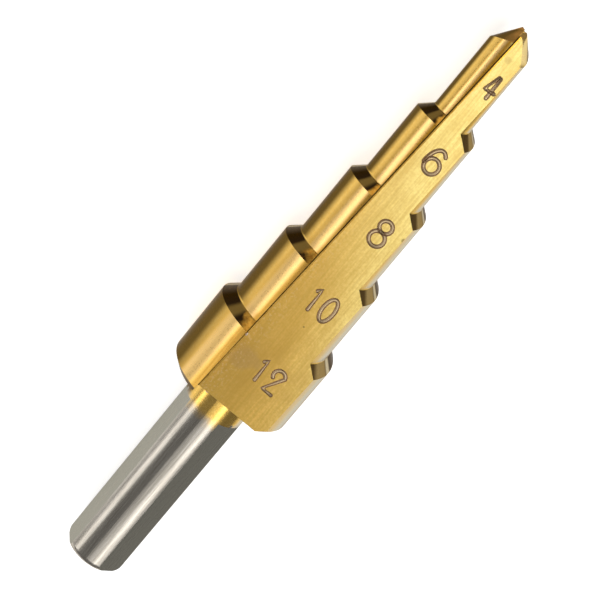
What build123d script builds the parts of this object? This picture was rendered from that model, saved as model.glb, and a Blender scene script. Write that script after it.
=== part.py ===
from build123d import *
from math import atan2, cos, degrees, radians, sin, sqrt, tan
import os

os.makedirs("parts", exist_ok=True)

# A step drill, ground from one bar of high-speed steel. It has a round shank with three flats,
# five steps that grow by the same amount, two straight flutes and a relieved point. It lies on a
# surface on the two long edges of one flute: its axis is along X, its point towards +X, and the
# other flute, the one that carries the size marks, faces up.

# ---- Driving dimensions, in millimetres and degrees ----

shank_diameter = 6.0
shank_length = 21.6
shank_end_length = 0.55      # of the rounded end that leads the shank into a chuck
shank_end_depth = 0.22       # how far that rounding goes in

flat_count = 3
flat_depth = 0.31            # how far each flat is sunk below the round of the shank
flat_first_angle = 55.0      # of the first flat, around the axis from the normal of the broad face
flat_stop = 2.05             # bare round left between the end of a flat and the body

step_count = 5
pilot_diameter = 3.85        # of the smallest step, ground a little under its mark
second_diameter = 6.0
diameter_rise = 2.0          # from the second step on
step_length = 8.1            # of each larger step, along its cutting edge
pilot_length = 9.2           # of the smallest step, up to the outer corner of its lip
chamfer_half_angle = 45.0    # of the cone at the front of each larger step
chamfer_relief = 0.84        # how far a chamfer falls back from its cutting edge to its heel
relief_peak = 0.85           # share of the land, from its edge, where it falls back the fastest
root_radius = 0.2            # between a chamfer and the next step
back_chamfer = 0.66          # round the back of the largest step

web_at_back = 6.42           # steel left between the two broad faces, at the back of the body
web_at_lip = 1.6             # the same, at the outer corner of the lip
rake_at_back = 2.24          # how far the rake face lies off the axis, at the back of the body
rake_at_lip = 0.08
flute_corner_radius = 0.25

point_height = 0.96          # from the outer corner of a lip to the top of the point
flank_half_angle = 54.3      # of the cone that each flank of the point is part of
flank_lean = 23.4            # of that cone's axis from the axis of the drill
flank_lean_angle = -124.5    # where it leans to, around the axis from the broad face's normal
flank_offset = 0.47          # of that cone's apex from the axis of the drill
flank_offset_angle = -139.0

# ---- Derived sizes ----

largest_radius = second_diameter / 2 + diameter_rise / 2 * (step_count - 2)
body_length = step_length * (step_count - 1) + pilot_length
overall_length = shank_length + body_length + point_height


def web_half(station):
    """Distance from the axis to a flute's broad face, at a station from the back of the body."""
    share = station / body_length
    return (web_at_back + (web_at_lip - web_at_back) * share) / 2


def rake_offset(station):
    """Distance from the axis to a flute's rake face."""
    share = station / body_length
    return rake_at_back + (rake_at_lip - rake_at_back) * share


def cutting_angle(radius, station):
    """Angle of the cutting edge around the axis, counted from the normal of the broad face."""
    return degrees(atan2(-rake_offset(station), sqrt(radius**2 - rake_offset(station) ** 2)))


def heel_angle(radius, station):
    """Angle of the heel, where the broad face meets the land on the flute's other side."""
    return degrees(atan2(sqrt(radius**2 - web_half(station) ** 2), web_half(station)))


# The drill lies with its axis level on the cutting edge and the heel of one flute, which touch the
# surface at the front and at the back of the largest step. The middle of that flute points
# straight down, and the middle of the other one straight up.
edge_contact_angle = cutting_angle(largest_radius, step_length)
heel_contact_angle = heel_angle(largest_radius, back_chamfer)
flute_middle = (edge_contact_angle + heel_contact_angle) / 2
axis_height = largest_radius * cos(radians(heel_contact_angle - flute_middle))

# The section plane stands across the drill at the back of the body. Its x is the normal of the
# marked flute's broad face, its y runs across that face, and its z is the axis of the drill.
section = Plane(
    origin=(shank_length - overall_length / 2, 0, axis_height),
    x_dir=(0, sin(radians(flute_middle)), cos(radians(flute_middle))),
    z_dir=(1, 0, 0),
)
drill_axis = Axis(section.origin, section.z_dir)


def off_axis(point):
    """How far a point lies off the axis of the drill."""
    return (point - drill_axis.position).cross(drill_axis.direction).length


def relieved_step(radius, apex, half_angle, lean, lean_angle):
    """A round bar from the back of the body, cut off in front by a cone whose axis leans.

    The lean lets the cone fall away behind the cutting edge, which is the relief that the edge
    needs. The apex and the lean are given in the section plane.
    """
    cone_axis = Vector(
        sin(radians(lean)) * cos(radians(lean_angle)),
        sin(radians(lean)) * sin(radians(lean_angle)),
        cos(radians(lean)),
    )
    across = Vector(-sin(radians(lean_angle)), cos(radians(lean_angle)), 0)
    origin = section.from_local_coords(Vector(apex))
    direction = section.from_local_coords(Vector(apex) + cone_axis) - origin
    sideways = section.from_local_coords(Vector(apex) + across) - origin
    cone_plane = Plane(origin=origin, x_dir=sideways, z_dir=sideways.cross(direction))
    height = 2 * apex[2]
    with BuildPart() as step:
        with BuildSketch(section):
            Circle(radius)
        extrude(amount=apex[2])
        with BuildSketch(cone_plane):
            with BuildLine():
                Polyline((0, 0), (height * tan(radians(half_angle)), -height), (0, -height), close=True)
            make_face()
        revolve(axis=Axis(origin, direction), mode=Mode.INTERSECT)
    return step.part


# ---- One land: half of the body, from its cutting edge back to its heel ----

# The drill is the same after half a turn, so the land on the negative y side of the section is
# built once. Each larger step ends in a chamfer, the smallest one in a flank of the point.
with BuildPart() as land:
    radii = [largest_radius - index * diameter_rise / 2 for index in range(step_count - 1)]
    radii.append(pilot_diameter / 2)
    for index in range(step_count - 1):
        radius = radii[index]
        front = (index + 1) * step_length
        edge_angle = cutting_angle(radius, front)
        land_angle = edge_angle + 180 - heel_angle(radius, front)
        before_peak = relief_peak * land_angle
        after_peak = land_angle - before_peak
        swing = chamfer_relief / (sin(radians(before_peak)) + sin(radians(after_peak)))
        step_lean = degrees(swing / (2 * radius))
        tip = front - swing * sin(radians(before_peak)) + radius / tan(radians(chamfer_half_angle))
        lean_towards = edge_angle - before_peak - 90
        add(relieved_step(radius, (0, 0, tip), chamfer_half_angle, step_lean, lean_towards))
    flank_apex = (
        flank_offset * cos(radians(flank_offset_angle)),
        flank_offset * sin(radians(flank_offset_angle)),
        body_length + point_height,
    )
    add(relieved_step(radii[-1], flank_apex, flank_half_angle, flank_lean, flank_lean_angle))

    chamfer(land.edges().sort_by(drill_axis)[0], back_chamfer)

    # The corner of the grinding wheel leaves a small radius at the root of each chamfer.
    for index in range(1, step_count):
        near_front = land.edges().filter_by(GeomType.LINE, reverse=True).filter_by_position(
            drill_axis, (index - 0.5) * step_length, (index + 0.5) * step_length
        )
        root = near_front.filter_by(lambda edge: abs(off_axis(edge @ 0.3) - radii[index]) < root_radius / 10)
        fillet(root, root_radius)
    split(bisect_by=Plane(section.origin, x_dir=section.z_dir, z_dir=section.y_dir), keep=Keep.BOTTOM)

# ---- One flute, as the wheel that grinds it ----

# The broad face and the rake face meet in a small radius. Both come closer to the axis towards
# the point, so the flute runs straight but deepens with the steps.
with BuildPart() as flute:
    for station in (-step_length, body_length + pilot_length):
        with BuildSketch(section.offset(station)):
            with Locations((web_half(station), -rake_offset(station))):
                Rectangle(2 * largest_radius, 3 * largest_radius, align=(Align.MIN, Align.MIN))
    loft()
    fillet(flute.edges().sort_by_distance(section.origin)[0], flute_corner_radius)

# ---- The whole drill ----

with BuildPart() as step_drill:
    add(land.part)
    add(land.part.rotate(drill_axis, 180))

    # The shank, with the rounded end that leads it into a chuck.
    with BuildSketch(Plane(section.origin, x_dir=section.x_dir, z_dir=section.y_dir)):
        with BuildLine():
            Polyline(
                (shank_diameter / 2 - shank_end_depth, shank_length),
                (0, shank_length),
                (0, 0),
                (shank_diameter / 2, 0),
                (shank_diameter / 2, shank_length - shank_end_length),
            )
            TangentArc(
                (shank_diameter / 2, shank_length - shank_end_length),
                (shank_diameter / 2 - shank_end_depth, shank_length),
                tangent=(0, 1),
            )
        make_face()
    revolve(axis=drill_axis)

    # The flats that the jaws of a chuck hold. They stop short of the body.
    with BuildSketch(section.offset(-flat_stop)):
        with PolarLocations(shank_diameter / 2, flat_count, start_angle=flat_first_angle):
            Rectangle(2 * flat_depth, shank_diameter)
    extrude(amount=-shank_length, mode=Mode.SUBTRACT)

    # The two flutes.
    add(flute.part, mode=Mode.SUBTRACT)
    add(flute.part.rotate(drill_axis, 180), mode=Mode.SUBTRACT)

step_drill.part.label = "step_drill"
export_step(step_drill.part, "parts/step_drill.step")
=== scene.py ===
import math

import bmesh
import bpy
from mathutils import Matrix, Vector
from mathutils.noise import noise as noise_at


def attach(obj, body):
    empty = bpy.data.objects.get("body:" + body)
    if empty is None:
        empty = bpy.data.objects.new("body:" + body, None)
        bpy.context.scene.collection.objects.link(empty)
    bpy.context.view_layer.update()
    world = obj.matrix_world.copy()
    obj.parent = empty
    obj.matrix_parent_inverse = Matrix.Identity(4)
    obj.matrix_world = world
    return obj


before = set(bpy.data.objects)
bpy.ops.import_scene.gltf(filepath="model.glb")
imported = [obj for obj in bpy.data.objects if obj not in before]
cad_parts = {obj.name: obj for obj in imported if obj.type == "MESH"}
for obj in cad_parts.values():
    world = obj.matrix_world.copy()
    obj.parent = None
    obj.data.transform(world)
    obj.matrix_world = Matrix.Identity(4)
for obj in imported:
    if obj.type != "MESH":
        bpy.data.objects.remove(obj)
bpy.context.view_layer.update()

# ---------------------------------------------------------------------------------------------
# The drill. It is ground from one bar of high-speed steel and coated with titanium nitride. The
# coat is left on the body and has been ground and worn off the shank.
# ---------------------------------------------------------------------------------------------
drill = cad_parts["step_drill"]
axis_height = 0.0047365
back_of_body = -0.01048
flute_middle = math.radians(20.22)
broad_normal = Vector((0.0, math.sin(flute_middle), math.cos(flute_middle)))
across_face = Vector((0.0, -math.cos(flute_middle), math.sin(flute_middle)))


def drill_coordinates():
    """Node group: the place of a point on the drill, in millimetres from the back of the body."""
    group = bpy.data.node_groups.new("drill_coordinates", "ShaderNodeTree")
    for name in ("Station", "Radius", "Angle", "Lift", "Across"):
        group.interface.new_socket(name=name, in_out="OUTPUT", socket_type="NodeSocketFloat")
    nodes = group.nodes
    links = group.links
    out = nodes.new("NodeGroupOutput")
    coordinate = nodes.new("ShaderNodeTexCoord")
    moved = nodes.new("ShaderNodeVectorMath")
    moved.operation = "SUBTRACT"
    moved.inputs[1].default_value = (back_of_body, 0.0, axis_height)
    links.new(coordinate.outputs["Object"], moved.inputs[0])
    scaled = nodes.new("ShaderNodeVectorMath")
    scaled.operation = "SCALE"
    scaled.inputs["Scale"].default_value = 1000.0
    links.new(moved.outputs[0], scaled.inputs[0])
    values = {}
    for name, direction in (("Station", (1, 0, 0)), ("Lift", broad_normal), ("Across", across_face)):
        dot = nodes.new("ShaderNodeVectorMath")
        dot.operation = "DOT_PRODUCT"
        dot.inputs[1].default_value = direction
        links.new(scaled.outputs[0], dot.inputs[0])
        values[name] = dot.outputs["Value"]
        links.new(dot.outputs["Value"], out.inputs[name])
    flat = nodes.new("ShaderNodeCombineXYZ")
    links.new(values["Lift"], flat.inputs["X"])
    links.new(values["Across"], flat.inputs["Y"])
    length = nodes.new("ShaderNodeVectorMath")
    length.operation = "LENGTH"
    links.new(flat.outputs[0], length.inputs[0])
    links.new(length.outputs["Value"], out.inputs["Radius"])
    angle = nodes.new("ShaderNodeMath")
    angle.operation = "ARCTAN2"
    links.new(values["Across"], angle.inputs[0])
    links.new(values["Lift"], angle.inputs[1])
    links.new(angle.outputs[0], out.inputs["Angle"])
    return group


def ground_lines():
    """Node group: the fine scratches of a grinding wheel, long along one way and close across it."""
    group = bpy.data.node_groups.new("ground_lines", "ShaderNodeTree")
    given_values = (
        ("Along", 0.0), ("Across", 0.0), ("Length", 8.0), ("Spacing", 0.05), ("Seed", 0.0)
    )
    for name, value in given_values:
        socket = group.interface.new_socket(name=name, in_out="INPUT", socket_type="NodeSocketFloat")
        socket.default_value = value
    group.interface.new_socket(name="Height", in_out="OUTPUT", socket_type="NodeSocketFloat")
    nodes = group.nodes
    links = group.links
    given = nodes.new("NodeGroupInput")
    out = nodes.new("NodeGroupOutput")
    place = nodes.new("ShaderNodeCombineXYZ")
    for value, size, axis in (("Along", "Length", "X"), ("Across", "Spacing", "Y")):
        share = nodes.new("ShaderNodeMath")
        share.operation = "DIVIDE"
        links.new(given.outputs[value], share.inputs[0])
        links.new(given.outputs[size], share.inputs[1])
        links.new(share.outputs[0], place.inputs[axis])
    links.new(given.outputs["Seed"], place.inputs["Z"])
    scratches = nodes.new("ShaderNodeTexNoise")
    scratches.inputs["Scale"].default_value = 1.0
    scratches.inputs["Detail"].default_value = 4.0
    scratches.inputs["Roughness"].default_value = 0.65
    links.new(place.outputs[0], scratches.inputs["Vector"])
    links.new(scratches.outputs["Fac"], out.inputs["Height"])
    return group


coat = bpy.data.materials.new("nitride_coat")
coat.use_nodes = True
nodes = coat.node_tree.nodes
links = coat.node_tree.links
shader = nodes["Principled BSDF"]
where = nodes.new("ShaderNodeGroup")
where.node_tree = drill_coordinates()


def number(operation, *values):
    """A Math node on values or sockets."""
    node = nodes.new("ShaderNodeMath")
    node.operation = operation
    for index, value in enumerate(values):
        if isinstance(value, (int, float)):
            node.inputs[index].default_value = value
        else:
            links.new(value, node.inputs[index])
    return node.outputs[0]


def ramp(value, low, high, at_low=0.0, at_high=1.0):
    """A soft step: at_low below low, at_high above high."""
    node = nodes.new("ShaderNodeMapRange")
    node.interpolation_type = "SMOOTHSTEP"
    links.new(value, node.inputs["Value"])
    node.inputs["From Min"].default_value = low
    node.inputs["From Max"].default_value = high
    node.inputs["To Min"].default_value = at_low
    node.inputs["To Max"].default_value = at_high
    return node.outputs["Result"]


def blend(share, first, second):
    """A colour between two colours or colour sockets."""
    node = nodes.new("ShaderNodeMix")
    node.data_type = "RGBA"
    links.new(share, node.inputs["Factor"])
    for socket, value in ((node.inputs["A"], first), (node.inputs["B"], second)):
        if isinstance(value, tuple):
            socket.default_value = value + (1.0,)
        else:
            links.new(value, socket)
    return node.outputs["Result"]


def blend_value(share, first, second):
    """A value between two values or sockets."""
    node = nodes.new("ShaderNodeMix")
    node.data_type = "FLOAT"
    links.new(share, node.inputs["Factor"])
    for socket, value in ((node.inputs["A"], first), (node.inputs["B"], second)):
        if isinstance(value, float):
            socket.default_value = value
        else:
            links.new(value, socket)
    return node.outputs["Result"]


def times(*values):
    """The product of values or sockets."""
    product = values[0]
    for value in values[1:]:
        product = number("MULTIPLY", product, value)
    return product


def without(mask):
    """The opposite of a mask."""
    return number("SUBTRACT", 1.0, mask)


def stripe(value, rises_from, full_from, full_to, gone_at):
    """A mask with two soft edges."""
    return times(ramp(value, rises_from, full_from), ramp(value, gone_at, full_to))


def tinted(under, colour, *masks):
    """A colour laid over another where all the masks meet."""
    return blend(times(*masks), under, colour)


def scratches(along, across, length, spacing, seed):
    """The height of grinding scratches."""
    node = nodes.new("ShaderNodeGroup")
    node.node_tree = lines_group
    links.new(along, node.inputs["Along"])
    links.new(across, node.inputs["Across"])
    node.inputs["Length"].default_value = length
    node.inputs["Spacing"].default_value = spacing
    node.inputs["Seed"].default_value = seed
    return node.outputs["Height"]


lines_group = ground_lines()
station = where.outputs["Station"]
radius = where.outputs["Radius"]
angle = where.outputs["Angle"]
lift = where.outputs["Lift"]
across = where.outputs["Across"]

# Which way a face looks tells how it was ground.
facing = nodes.new("ShaderNodeTexCoord").outputs["Normal"]
facing_parts = {}
for name, direction in (("station", (1, 0, 0)), ("lift", broad_normal), ("across", across_face)):
    dot = nodes.new("ShaderNodeVectorMath")
    dot.operation = "DOT_PRODUCT"
    dot.inputs[1].default_value = direction
    links.new(facing, dot.inputs[0])
    facing_parts[name] = dot.outputs["Value"]
facing_angle = number("ARCTAN2", facing_parts["across"], facing_parts["lift"])
facing_end = number("ABSOLUTE", facing_parts["station"])
flat_across = 0.990
flat_surely = 0.997
on_body = ramp(station, -0.05, 0.05)
broad_face = times(ramp(number("ABSOLUTE", facing_parts["lift"]), flat_across, flat_surely), on_body)
rake_face = times(ramp(number("ABSOLUTE", facing_parts["across"]), flat_across, flat_surely), on_body)
flute_face = number("MAXIMUM", broad_face, rake_face)
marked_face = times(broad_face, ramp(lift, 0.0, 0.1))
front_face = times(ramp(facing_parts["station"], 0.35, 0.55), on_body)
flat_count = 3.0
first_flat = math.radians(55.0)
flat_turn = number("COSINE", times(number("SUBTRACT", facing_angle, first_flat), flat_count))
shank_flat = times(ramp(flat_turn, 0.985, 0.995), without(ramp(station, -1.80, -1.70)))

# Scratches run along the broad and rake faces, and round everything that was turned.
arc = times(angle, radius)
aslant = number("ADD", across, times(lift, 0.6))
length_lines = scratches(station, aslant, length=9.0, spacing=0.07, seed=1.0)
round_lines = scratches(arc, number("ADD", station, radius), length=6.0, spacing=0.05, seed=4.0)
is_lengthwise = number("MAXIMUM", flute_face, shank_flat)
height_mix = blend_value(is_lengthwise, round_lines, length_lines)
shank_depth = 0.3
land_depth = 0.12
flute_depth = 1.0
scratch_depth = blend_value(on_body, shank_depth, blend_value(flute_face, land_depth, flute_depth))
bump = nodes.new("ShaderNodeBump")
bump.inputs["Strength"].default_value = 0.25
bump.inputs["Distance"].default_value = 0.00001
links.new(times(height_mix, scratch_depth), bump.inputs["Height"])
links.new(bump.outputs["Normal"], shader.inputs["Normal"])

coordinate = nodes.new("ShaderNodeTexCoord")


def noise(size, detail, seed):
    """Even noise from 0 to 1 that changes over a size in millimetres."""
    node = nodes.new("ShaderNodeTexNoise")
    node.inputs["Scale"].default_value = 1000.0 / size
    node.inputs["Detail"].default_value = detail
    moved = nodes.new("ShaderNodeVectorMath")
    moved.operation = "ADD"
    moved.inputs[1].default_value = (seed, 0.0, 0.0)
    links.new(coordinate.outputs["Object"], moved.inputs[0])
    links.new(moved.outputs[0], node.inputs["Vector"])
    return ramp(node.outputs["Fac"], 0.3, 0.7)


grain = noise(0.22, 4.0, 0.0)
blotches = noise(1.6, 3.0, 3.0)
clouds = noise(7.0, 2.0, 5.0)
streaks = ramp(scratches(station, across, length=5.0, spacing=0.25, seed=9.0), 0.35, 0.65)
wander = times(number("SUBTRACT", blotches, 0.5), 0.7)


def spot(at_station, at_across, size):
    """A small blemish on the marked broad face."""
    far_along = number("DIVIDE", number("SUBTRACT", station, at_station), size)
    far_across = number("DIVIDE", number("SUBTRACT", across, at_across), size)
    far = number("ADD", times(far_along, far_along), times(far_across, far_across))
    return times(ramp(number("ADD", far, blotches), 1.7, 0.6), marked_face)


# The broad face is painted paler towards the point and away from the groove, a painted reflection; the coat
# is duller by the groove at the back.
gold = blend(grain, (0.77, 0.480, 0.105), (0.88, 0.570, 0.150))
toward_point = number("ADD", station, times(across, 3.0))
painted_reflection_gold = blend(grain, (0.85, 0.655, 0.215), (0.97, 0.80, 0.30))
# Painted reflection: the broad face is paler towards the point and away from the groove.
gold = tinted(gold, painted_reflection_gold, ramp(toward_point, 10.0, 35.0), broad_face)
gold = tinted(gold, (0.60, 0.38, 0.08), streaks, flute_face, 0.50)
gold = tinted(gold, (0.60, 0.36, 0.09), blotches, clouds, 0.35)
gold = tinted(gold, (0.52, 0.30, 0.055), ramp(across, 3.2, 1.2), ramp(station, 26.0, 4.0), broad_face, 0.45)

# How far round a land a point lies, in degrees: 0 at its cutting edge, about 110 at its heel. The
# edge moves round the drill as the flute gets shallower.
half_turn = math.radians(180.0)
before_edge = 0.35
edge_turn_per_mm = 0.0073
first_edge_angle = math.radians(20.0)
edge_angle = number("SUBTRACT", times(station, edge_turn_per_mm), first_edge_angle)
past_edge = number("WRAP", number("SUBTRACT", edge_angle, angle), half_turn - before_edge, -before_edge)
past_edge = times(past_edge, 180.0 / math.pi)

# The chamfers, the flanks and the rake face are coloured apart from the rest of the coat. The chamfers
# carry a painted
# reflection: orange at the cutting edge, nearly black behind it and pale in a stripe further round.
on_point = ramp(station, 40.0, 40.6)
chamfer_face = times(front_face, without(on_point))
flank_face = times(front_face, on_point)
ragged = number("ADD", past_edge, times(wander, 18.0))
orange = blend(grain, (0.62, 0.27, 0.03), (0.85, 0.45, 0.07))
# Painted reflection: the chamfer colour goes round the drill from orange through near black to a pale
# stripe and dark again.
painted_chamfer_reflection = blend(ramp(ragged, 2.0, 17.0), orange, (0.016, 0.008, 0.003))
painted_chamfer_reflection = tinted(painted_chamfer_reflection, (0.06, 0.045, 0.032), ramp(past_edge, 48.0, 66.0))
painted_chamfer_reflection = tinted(painted_chamfer_reflection, (0.52, 0.45, 0.30), stripe(past_edge, 71.0, 75.0, 78.0, 82.0))
painted_chamfer_reflection = tinted(painted_chamfer_reflection, (0.26, 0.18, 0.07), ramp(past_edge, 78.0, 84.0))
painted_chamfer_reflection = tinted(painted_chamfer_reflection, (0.07, 0.042, 0.015), ramp(past_edge, 94.0, 102.0))
gold = tinted(gold, painted_chamfer_reflection, chamfer_face)
dark_flank = times(flank_face, ramp(across, 0.10, -0.10))
flank_brown = blend(blotches, (0.17, 0.070, 0.015), (0.42, 0.18, 0.045))
gold = tinted(gold, flank_brown, dark_flank, 0.9)
# Painted light: the rest of the flanks is painted pale, turning orange near the axis, where it lies in
# shade.
painted_light_flank = blend(ramp(across, 0.75, 0.25), (0.92, 0.76, 0.38), (1.00, 0.58, 0.18))
gold = tinted(gold, painted_light_flank, number("SUBTRACT", flank_face, dark_flank), 0.7)
# Painted shade: the rake face is darkened as the shadowed wall of the groove.
gold = tinted(gold, (0.36, 0.19, 0.03), rake_face, 0.70)

# The root of each step, in front of its chamfer, is painted browner: painted shade in the inside corner.
step_length = 8.1
along_step = number("WRAP", station, step_length, 0.0)
at_root = stripe(along_step, 0.6, 1.0, 1.1, 1.9)
at_chamfers = stripe(station, 7.0, 8.0, 34.0, 36.0)
root = times(at_root, ramp(past_edge, 45.0, 10.0), without(broad_face), at_chamfers)
# Painted shade in the inside corner at the root of each step.
gold = tinted(gold, (0.40, 0.20, 0.028), root, 0.85)

# Use has left a dull patch, pale specks by the groove and a few dark pits on the marked face.
gold = tinted(gold, (0.46, 0.29, 0.12), spot(5.0, -0.6, 1.7), 0.40)
specks = ramp(noise(0.22, 2.0, 8.0), 0.70, 0.95)
gold = tinted(gold, (0.96, 0.80, 0.44), specks, ramp(across, 0.8, -1.8), marked_face, 0.20)
pits = times(spot(39.9, 0.55, 0.35), 0.4)
for place_on_face in ((10.47, 1.70, 0.10), (22.2, 3.55, 0.22), (40.2, 1.70, 0.25)):
    pits = number("MAXIMUM", pits, spot(*place_on_face))
gold = tinted(gold, (0.20, 0.13, 0.05), pits, 0.70)

# The lands carry painted reflections: brown just behind the cutting edge, a painted highlight next to that
# and browner after it. The rounded corner of the flute, which does not look away from the axis as a land
# does, is painted darker as shade.
away_from_axis = ramp(number("COSINE", number("SUBTRACT", facing_angle, angle)), 0.90, 0.96)
lengthwise = times(on_body, without(number("MAXIMUM", flute_face, front_face)), ramp(facing_end, 0.5, 0.3))
land = times(lengthwise, away_from_axis)
# Painted shade in the rounded corner of the flute.
gold = tinted(gold, (0.22, 0.12, 0.02), number("SUBTRACT", lengthwise, land), 0.85)
widening_per_mm = 0.21
from_brown = number("SUBTRACT", past_edge, times(station, widening_per_mm))
painted_edge_reflection = blend(ramp(station, 22.0, 34.0), (0.42, 0.225, 0.038), (0.85, 0.42, 0.04))
# Painted reflection bands on the lands: brown behind the edge, a darker band, a painted highlight and
# browner after it.
gold = tinted(gold, painted_edge_reflection, land, ramp(from_brown, 9.0, 5.0), blend_value(streaks, 0.75, 1.0))
gold = tinted(gold, (0.50, 0.29, 0.060), land, stripe(past_edge, 18.0, 23.0, 27.0, 33.0), 0.60)
gold = tinted(gold, (0.90, 0.60, 0.25), land, stripe(past_edge, 7.0, 13.0, 20.0, 27.0), 0.70)
gold = tinted(gold, (0.50, 0.30, 0.075), land, stripe(past_edge, 24.0, 30.0, 70.0, 90.0), 0.20)

# Where the surface is seen at a slant the coat is painted brown, with a brown band before it, and then as
# pale as bare steel: painted reflections that follow the view.
layer = nodes.new("ShaderNodeLayerWeight")
layer.inputs["Blend"].default_value = 0.5
slant = layer.outputs["Facing"]
near_heel = ramp(past_edge, 70.0, 88.0)
painted_slant_shade = times(ramp(slant, 0.30, 0.53, 0.0, 0.95), without(times(near_heel, 0.8)))
gold = tinted(gold, (0.075, 0.045, 0.012), painted_slant_shade, without(number("MAXIMUM", rake_face, chamfer_face)))
gold = tinted(gold, (0.36, 0.22, 0.05), stripe(slant, 0.20, 0.25, 0.30, 0.36), without(flute_face), 0.30)
painted_slant_sheen = blend_value(near_heel, ramp(slant, 0.88, 1.0, 0.0, 0.7), ramp(slant, 0.50, 0.80, 0.0, 0.85))
gold = tinted(gold, (0.66, 0.68, 0.60), painted_slant_sheen, without(number("MAXIMUM", front_face, rake_face)))

# The shank is bare steel. The coat covers its root too, fades over a ragged edge, and is ground off
# its flats.
drawn = ramp(scratches(station, arc, length=6.0, spacing=0.2, seed=12.0), 0.3, 0.7)
steel = blend(drawn, (0.36, 0.328, 0.278), (0.48, 0.446, 0.392))
# Painted reflection on the flats: darker where they are seen face-on, lighter where seen at a slant.
flat_steel_shaded = blend(ramp(slant, 0.50, 0.60), (0.205, 0.200, 0.172), (0.315, 0.312, 0.272))
steel = tinted(steel, flat_steel_shaded, shank_flat)
coated = times(ramp(number("ADD", station, wander), -3.1, -1.5), without(shank_flat))
links.new(tinted(steel, gold, coated), shader.inputs["Base Color"])
shader.inputs["Metallic"].default_value = 1.0
shader.inputs["Specular Tint"].default_value = (0.57, 0.53, 0.48, 1.0)
rough_when_round = blend_value(on_body, 0.20, 0.22)
rough_when_flat = blend_value(on_body, 0.22, 0.29)
rough = blend_value(is_lengthwise, rough_when_round, rough_when_flat)
uneven = number("ADD", times(height_mix, 0.10), times(grain, on_body, 0.04))
links.new(number("ADD", rough, uneven), shader.inputs["Roughness"])
drill.data.materials.clear()
drill.data.materials.append(coat)
for face in drill.data.polygons:
    face.use_smooth = True

# ---------------------------------------------------------------------------------------------
# The size marks. A laser burns the outline of each digit into the coat of one broad face, so a
# digit is a double line, browner than the coat, with a greyer strip between. The sizes read across
# the drill.
# ---------------------------------------------------------------------------------------------
def round_path(centre, reach, first, last, count):
    """Points on an ellipse in the plane of the face, in millimetres."""
    points = []
    for index in range(count):
        turn = math.radians(first + (last - first) * index / (count - 1))
        points.append((centre[0] + reach[0] * math.cos(turn), centre[1] + reach[1] * math.sin(turn)))
    return points


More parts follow.
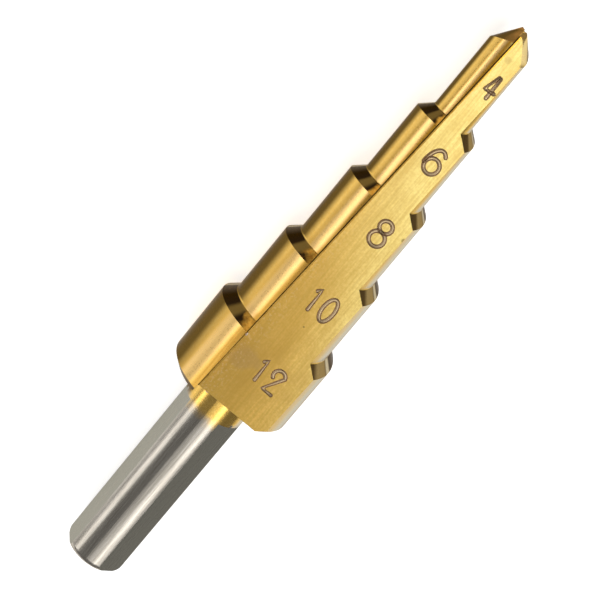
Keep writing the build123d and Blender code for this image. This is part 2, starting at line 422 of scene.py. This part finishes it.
def mark_group():
    """Node group: the strip and the outline that a laser burns along a path in the XY plane."""
    group = bpy.data.node_groups.new("laser_mark", "GeometryNodeTree")
    group.interface.new_socket(name="Path", in_out="INPUT", socket_type="NodeSocketGeometry")
    for name, value in (("Stroke Width", 0.00030), ("Line Width", 0.00010), ("Height", 0.000006)):
        socket = group.interface.new_socket(name=name, in_out="INPUT", socket_type="NodeSocketFloat")
        socket.default_value = value
    for name in ("Strip Material", "Line Material"):
        group.interface.new_socket(name=name, in_out="INPUT", socket_type="NodeSocketMaterial")
    group.interface.new_socket(name="Mark", in_out="OUTPUT", socket_type="NodeSocketGeometry")
    nodes = group.nodes
    links = group.links
    given = nodes.new("NodeGroupInput")
    out = nodes.new("NodeGroupOutput")

    def flat_normals(path):
        node = nodes.new("GeometryNodeSetCurveNormal")
        node.mode = "Z_UP"
        links.new(path, node.inputs["Curve"])
        return node.outputs["Curve"]

    def bar_along(path, width, height, material):
        profile = nodes.new("GeometryNodeCurvePrimitiveQuadrilateral")
        links.new(width, profile.inputs["Width"])
        links.new(height, profile.inputs["Height"])
        bar = nodes.new("GeometryNodeCurveToMesh")
        links.new(path, bar.inputs["Curve"])
        links.new(profile.outputs["Curve"], bar.inputs["Profile Curve"])
        bar.inputs["Fill Caps"].default_value = True
        coloured = nodes.new("GeometryNodeSetMaterial")
        links.new(bar.outputs["Mesh"], coloured.inputs["Geometry"])
        links.new(material, coloured.inputs["Material"])
        return coloured.outputs["Geometry"]

    path = flat_normals(given.outputs["Path"])
    half_height = nodes.new("ShaderNodeMath")
    half_height.operation = "MULTIPLY"
    half_height.inputs[1].default_value = 0.5
    links.new(given.outputs["Height"], half_height.inputs[0])
    strip = bar_along(
        path,
        given.outputs["Stroke Width"],
        half_height.outputs[0],
        given.outputs["Strip Material"],
    )

    # The outline follows the open edges of a flat ribbon along the path.
    half_width = nodes.new("ShaderNodeMath")
    half_width.operation = "MULTIPLY"
    half_width.inputs[1].default_value = 0.5
    links.new(given.outputs["Stroke Width"], half_width.inputs[0])
    right_end = nodes.new("ShaderNodeCombineXYZ")
    links.new(half_width.outputs[0], right_end.inputs["X"])
    left_end = nodes.new("ShaderNodeVectorMath")
    left_end.operation = "SCALE"
    left_end.inputs["Scale"].default_value = -1.0
    links.new(right_end.outputs[0], left_end.inputs[0])
    width_line = nodes.new("GeometryNodeCurvePrimitiveLine")
    links.new(left_end.outputs[0], width_line.inputs["Start"])
    links.new(right_end.outputs[0], width_line.inputs["End"])
    ribbon = nodes.new("GeometryNodeCurveToMesh")
    links.new(path, ribbon.inputs["Curve"])
    links.new(width_line.outputs["Curve"], ribbon.inputs["Profile Curve"])
    neighbours = nodes.new("GeometryNodeInputMeshEdgeNeighbors")
    is_open = nodes.new("FunctionNodeCompare")
    is_open.data_type = "INT"
    is_open.operation = "EQUAL"
    is_open.inputs["B"].default_value = 1
    links.new(neighbours.outputs["Face Count"], is_open.inputs["A"])
    edge = nodes.new("GeometryNodeMeshToCurve")
    links.new(ribbon.outputs["Mesh"], edge.inputs["Mesh"])
    links.new(is_open.outputs["Result"], edge.inputs["Selection"])
    rounded = nodes.new("GeometryNodeFilletCurve")
    rounded.mode = "POLY"
    rounded.inputs["Count"].default_value = 4
    rounded.inputs["Limit Radius"].default_value = True
    links.new(edge.outputs["Curve"], rounded.inputs["Curve"])
    links.new(half_width.outputs[0], rounded.inputs["Radius"])
    outline = bar_along(
        flat_normals(rounded.outputs["Curve"]),
        given.outputs["Line Width"],
        given.outputs["Height"],
        given.outputs["Line Material"],
    )
    joined = nodes.new("GeometryNodeJoinGeometry")
    links.new(strip, joined.inputs["Geometry"])
    links.new(outline, joined.inputs["Geometry"])
    real = nodes.new("GeometryNodeRealizeInstances")
    links.new(joined.outputs["Geometry"], real.inputs["Geometry"])
    links.new(real.outputs["Geometry"], out.inputs["Mark"])
    return group


def dull_metal(name, dark, light):
    """A dull metal that is uneven from place to place, as a burned coat or torn steel is."""
    material = bpy.data.materials.new(name)
    material.use_nodes = True
    tree = material.node_tree
    uneven = tree.nodes.new("ShaderNodeTexNoise")
    uneven.inputs["Scale"].default_value = 9000.0
    place = tree.nodes.new("ShaderNodeTexCoord")
    tree.links.new(place.outputs["Object"], uneven.inputs["Vector"])
    mix = tree.nodes.new("ShaderNodeMix")
    mix.data_type = "RGBA"
    mix.inputs["A"].default_value = dark + (1.0,)
    mix.inputs["B"].default_value = light + (1.0,)
    tree.links.new(uneven.outputs["Fac"], mix.inputs["Factor"])
    shader = tree.nodes["Principled BSDF"]
    tree.links.new(mix.outputs["Result"], shader.inputs["Base Color"])
    shader.inputs["Metallic"].default_value = 1.0
    shader.inputs["Roughness"].default_value = 0.42
    return material


one = [(0.0, 0.0), (2.42, -0.04), (1.92, -0.42)]
two = round_path((1.90, 0.62), (0.58, 0.56), -145.0, 75.0, 18) + [(0.06, 0.04), (0.08, 1.22)]
four = [(0.0, 0.0), (2.20, -0.02), (2.22, -0.20), (0.70, -0.62), (0.83, 0.42)]
loop_end = 345.0

# Each stroke: how far from the back of the body it starts, how far across, its path, and whether
# the path is a closed loop.
strokes = [
    (3.62, 1.36, one, False),
    (3.52, 2.24, two, False),
    (11.80, 0.98, one, False),
    (13.05, 2.43, round_path((0.0, 0.0), (1.20, 0.54), 0.0, loop_end, 24), True),
    (20.84, 1.64, round_path((0.0, 0.0), (0.71, 0.70), 0.0, loop_end, 24), True),
    (22.13, 1.65, round_path((0.0, 0.0), (0.58, 0.58), 0.0, loop_end, 24), True),
    (28.81, 1.27, round_path((0.0, 0.0), (0.72, 0.68), 0.0, loop_end, 24), True),
    (28.85, 1.28, round_path((0.0, 0.0), (1.60, 0.80), -98.0, 42.0, 14), False),
    (36.13, 1.12, four, False),
]
paths = bpy.data.curves.new("mark_paths", "CURVE")
paths.dimensions = "3D"
for start, side, points, closed in strokes:
    spline = paths.splines.new("POLY")
    spline.points.add(len(points) - 1)
    for point, (forward, sideways) in zip(spline.points, points):
        point.co = (0.001 * (start + forward), 0.001 * (side + sideways), 0.0, 1.0)
    spline.use_cyclic_u = closed
source = bpy.data.objects.new("mark_source", paths)
bpy.context.scene.collection.objects.link(source)
modifier = source.modifiers.new("laser_mark", "NODES")
modifier.node_group = mark_group()
strip_material = dull_metal("burned_strip", (0.40, 0.285, 0.155), (0.58, 0.43, 0.26))
line_material = dull_metal("burned_line", (0.21, 0.115, 0.055), (0.37, 0.22, 0.12))
for item in modifier.node_group.interface.items_tree:
    if item.name == "Strip Material":
        modifier[item.identifier] = strip_material
    if item.name == "Line Material":
        modifier[item.identifier] = line_material
marks_mesh = bpy.data.meshes.new_from_object(source.evaluated_get(bpy.context.evaluated_depsgraph_get()))
bpy.data.objects.remove(source)

# The broad face comes nearer to the axis by the taper of the flute, from the back to the point.
half_web = 0.003210
half_web_at_lip = 0.000800
lip_station = 0.0416
flute_slope = (half_web - half_web_at_lip) / lip_station
face_along = Vector((1.0, 0.0, 0.0)) - broad_normal * flute_slope
face_up = broad_normal + Vector((1.0, 0.0, 0.0)) * flute_slope
face_place = Matrix((face_along, across_face, face_up.normalized())).transposed().to_4x4()
face_place.translation = Vector((back_of_body, 0.0, axis_height)) + broad_normal * half_web
stand_off = 0.000004
face_place.translation += face_up * stand_off

# Along, across and up are a left-handed set, so the faces are turned round to look outwards.
marks_mesh.transform(face_place)
marks_mesh.flip_normals()
marks_mesh.update()
marks = bpy.data.objects.new("size_marks", marks_mesh)
bpy.context.scene.collection.objects.link(marks)
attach(marks, "root")

# ---------------------------------------------------------------------------------------------
# The burrs. Grinding the flute throws up small crumbs of steel at its edges, and two stay on: one
# at the groove of the largest step, one where the broad face ends over the shank.
# ---------------------------------------------------------------------------------------------
burr_steel = dull_metal("burr_steel", (0.66, 0.52, 0.40), (0.86, 0.76, 0.64))
for name, along, side, height, size, seed in (
    ("burr_on_groove", 6.62, -1.72, 2.85, (0.17, 0.11, 0.07), 1.0),
    ("burr_over_shank", -0.10, -1.20, 2.80, (0.16, 0.20, 0.10), 2.0),
):
    shape = bmesh.new()
    bmesh.ops.create_icosphere(shape, subdivisions=3, radius=1.0)
    for vertex in shape.verts:
        swell = 1.0 + 0.35 * noise_at(vertex.co * 1.6 + Vector((7.0 * seed, 0.0, 0.0)))
        forward, sideways, outward = [0.001 * swell * place * half for place, half in zip(vertex.co, size)]
        # Forward, sideways and outward are a left-handed set, so the faces are reversed below.
        vertex.co = (
            Vector((back_of_body + 0.001 * along + forward, 0.0, axis_height))
            + across_face * (0.001 * side + sideways)
            + broad_normal * (0.001 * height + outward)
        )
    burr_mesh = bpy.data.meshes.new(name)
    bmesh.ops.reverse_faces(shape, faces=shape.faces)
    shape.normal_update()
    shape.to_mesh(burr_mesh)
    shape.free()
    burr_mesh.materials.append(burr_steel)
    burr = bpy.data.objects.new(name, burr_mesh)
    bpy.context.scene.collection.objects.link(burr)
    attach(burr, "root")

# ---------------------------------------------------------------------------------------------
# Floor, lights and camera. The floor is a sheet of matt white paper. Four long soft boxes face the
# drill, each turned round its axis, and the camera looks down on the marked broad face.
# ---------------------------------------------------------------------------------------------
floor_mesh = bpy.data.meshes.new("floor")
reach = 1.0
floor_mesh.from_pydata(
    [(-reach, -reach, 0), (reach, -reach, 0), (reach, reach, 0), (-reach, reach, 0)], [], [(0, 1, 2, 3)]
)
floor = bpy.data.objects.new("floor", floor_mesh)
bpy.context.scene.collection.objects.link(floor)
paper = bpy.data.materials.new("white_paper")
paper.use_nodes = True
nodes = paper.node_tree.nodes
links = paper.node_tree.links
paper_shader = nodes["Principled BSDF"]
paper_shader.inputs["Base Color"].default_value = (0.93, 0.93, 0.93, 1.0)
paper_shader.inputs["Roughness"].default_value = 0.9
paper_shader.inputs["Specular IOR Level"].default_value = 0.0
rays = nodes.new("ShaderNodeLightPath")
seen = number("MAXIMUM", rays.outputs["Is Camera Ray"], rays.outputs["Is Glossy Ray"])
seen = number("MAXIMUM", seen, rays.outputs["Is Transmission Ray"])
paper_glow = 0.62
links.new(times(seen, paper_glow), paper_shader.inputs["Emission Strength"])
paper_shader.inputs["Emission Color"].default_value = (1.0, 1.0, 1.0, 1.0)
floor.data.materials.append(paper)

world = bpy.data.worlds.new("studio")
bpy.context.scene.world = world
world.use_nodes = True
world.node_tree.nodes["Background"].inputs["Color"].default_value = (1.0, 1.0, 1.0, 1.0)
world.node_tree.nodes["Background"].inputs["Strength"].default_value = 0.22


def softbox(name, turn, rise, distance, width, length, brightness):
    """A soft light that faces the drill: turn is round its axis from the broad face's normal."""
    away = broad_normal * math.cos(turn) + across_face * math.sin(turn)
    direction = (away * math.cos(rise) + Vector((1, 0, 0)) * math.sin(rise)).normalized()
    light = bpy.data.lights.new(name, "AREA")
    light.shape = "RECTANGLE"
    light.size = length
    light.size_y = width
    light.energy = brightness * math.pi * width * length
    lamp = bpy.data.objects.new(name, light)
    side = direction.cross(Vector((1, 0, 0))).normalized()
    along = side.cross(direction).normalized()
    matrix = Matrix((along, direction.cross(along), direction)).transposed().to_4x4()
    matrix.translation = Vector((0, 0, axis_height)) + direction * distance
    lamp.matrix_world = matrix
    bpy.context.scene.collection.objects.link(lamp)


for name, turn, rise, distance, width, length, brightness in (
    ("window_light", -50.0, -10.0, 0.35, 0.10, 0.50, 2.15),
    ("top_light", 39.0, -10.0, 0.35, 0.09, 0.50, 2.1),
    ("fill_light", 28.0, -10.0, 0.35, 0.20, 0.50, 0.9),
    ("front_light", 7.0, 5.0, 0.45, 0.13, 0.28, 3.2),
):
    softbox(name, math.radians(turn), math.radians(rise), distance, width, length, brightness)

right = Vector((0.58679, -0.80925, 0.02824)).normalized()
up = Vector((0.70620, 0.49438, -0.50683)).normalized()
back = right.cross(up).normalized()
up = back.cross(right)
camera_data = bpy.data.cameras.new("camera")
camera_data.sensor_width = 36.0
camera_data.lens = 144.0
camera_data.clip_start = 0.01
camera = bpy.data.objects.new("camera", camera_data)
camera_place = (0.08373, 0.06663, 0.18551)
camera_matrix = Matrix((right, up, back)).transposed().to_4x4()
camera_matrix.translation = camera_place
camera.matrix_world = camera_matrix
bpy.context.scene.collection.objects.link(camera)
bpy.context.scene.camera = camera
bpy.context.scene.view_settings.view_transform = "Standard"
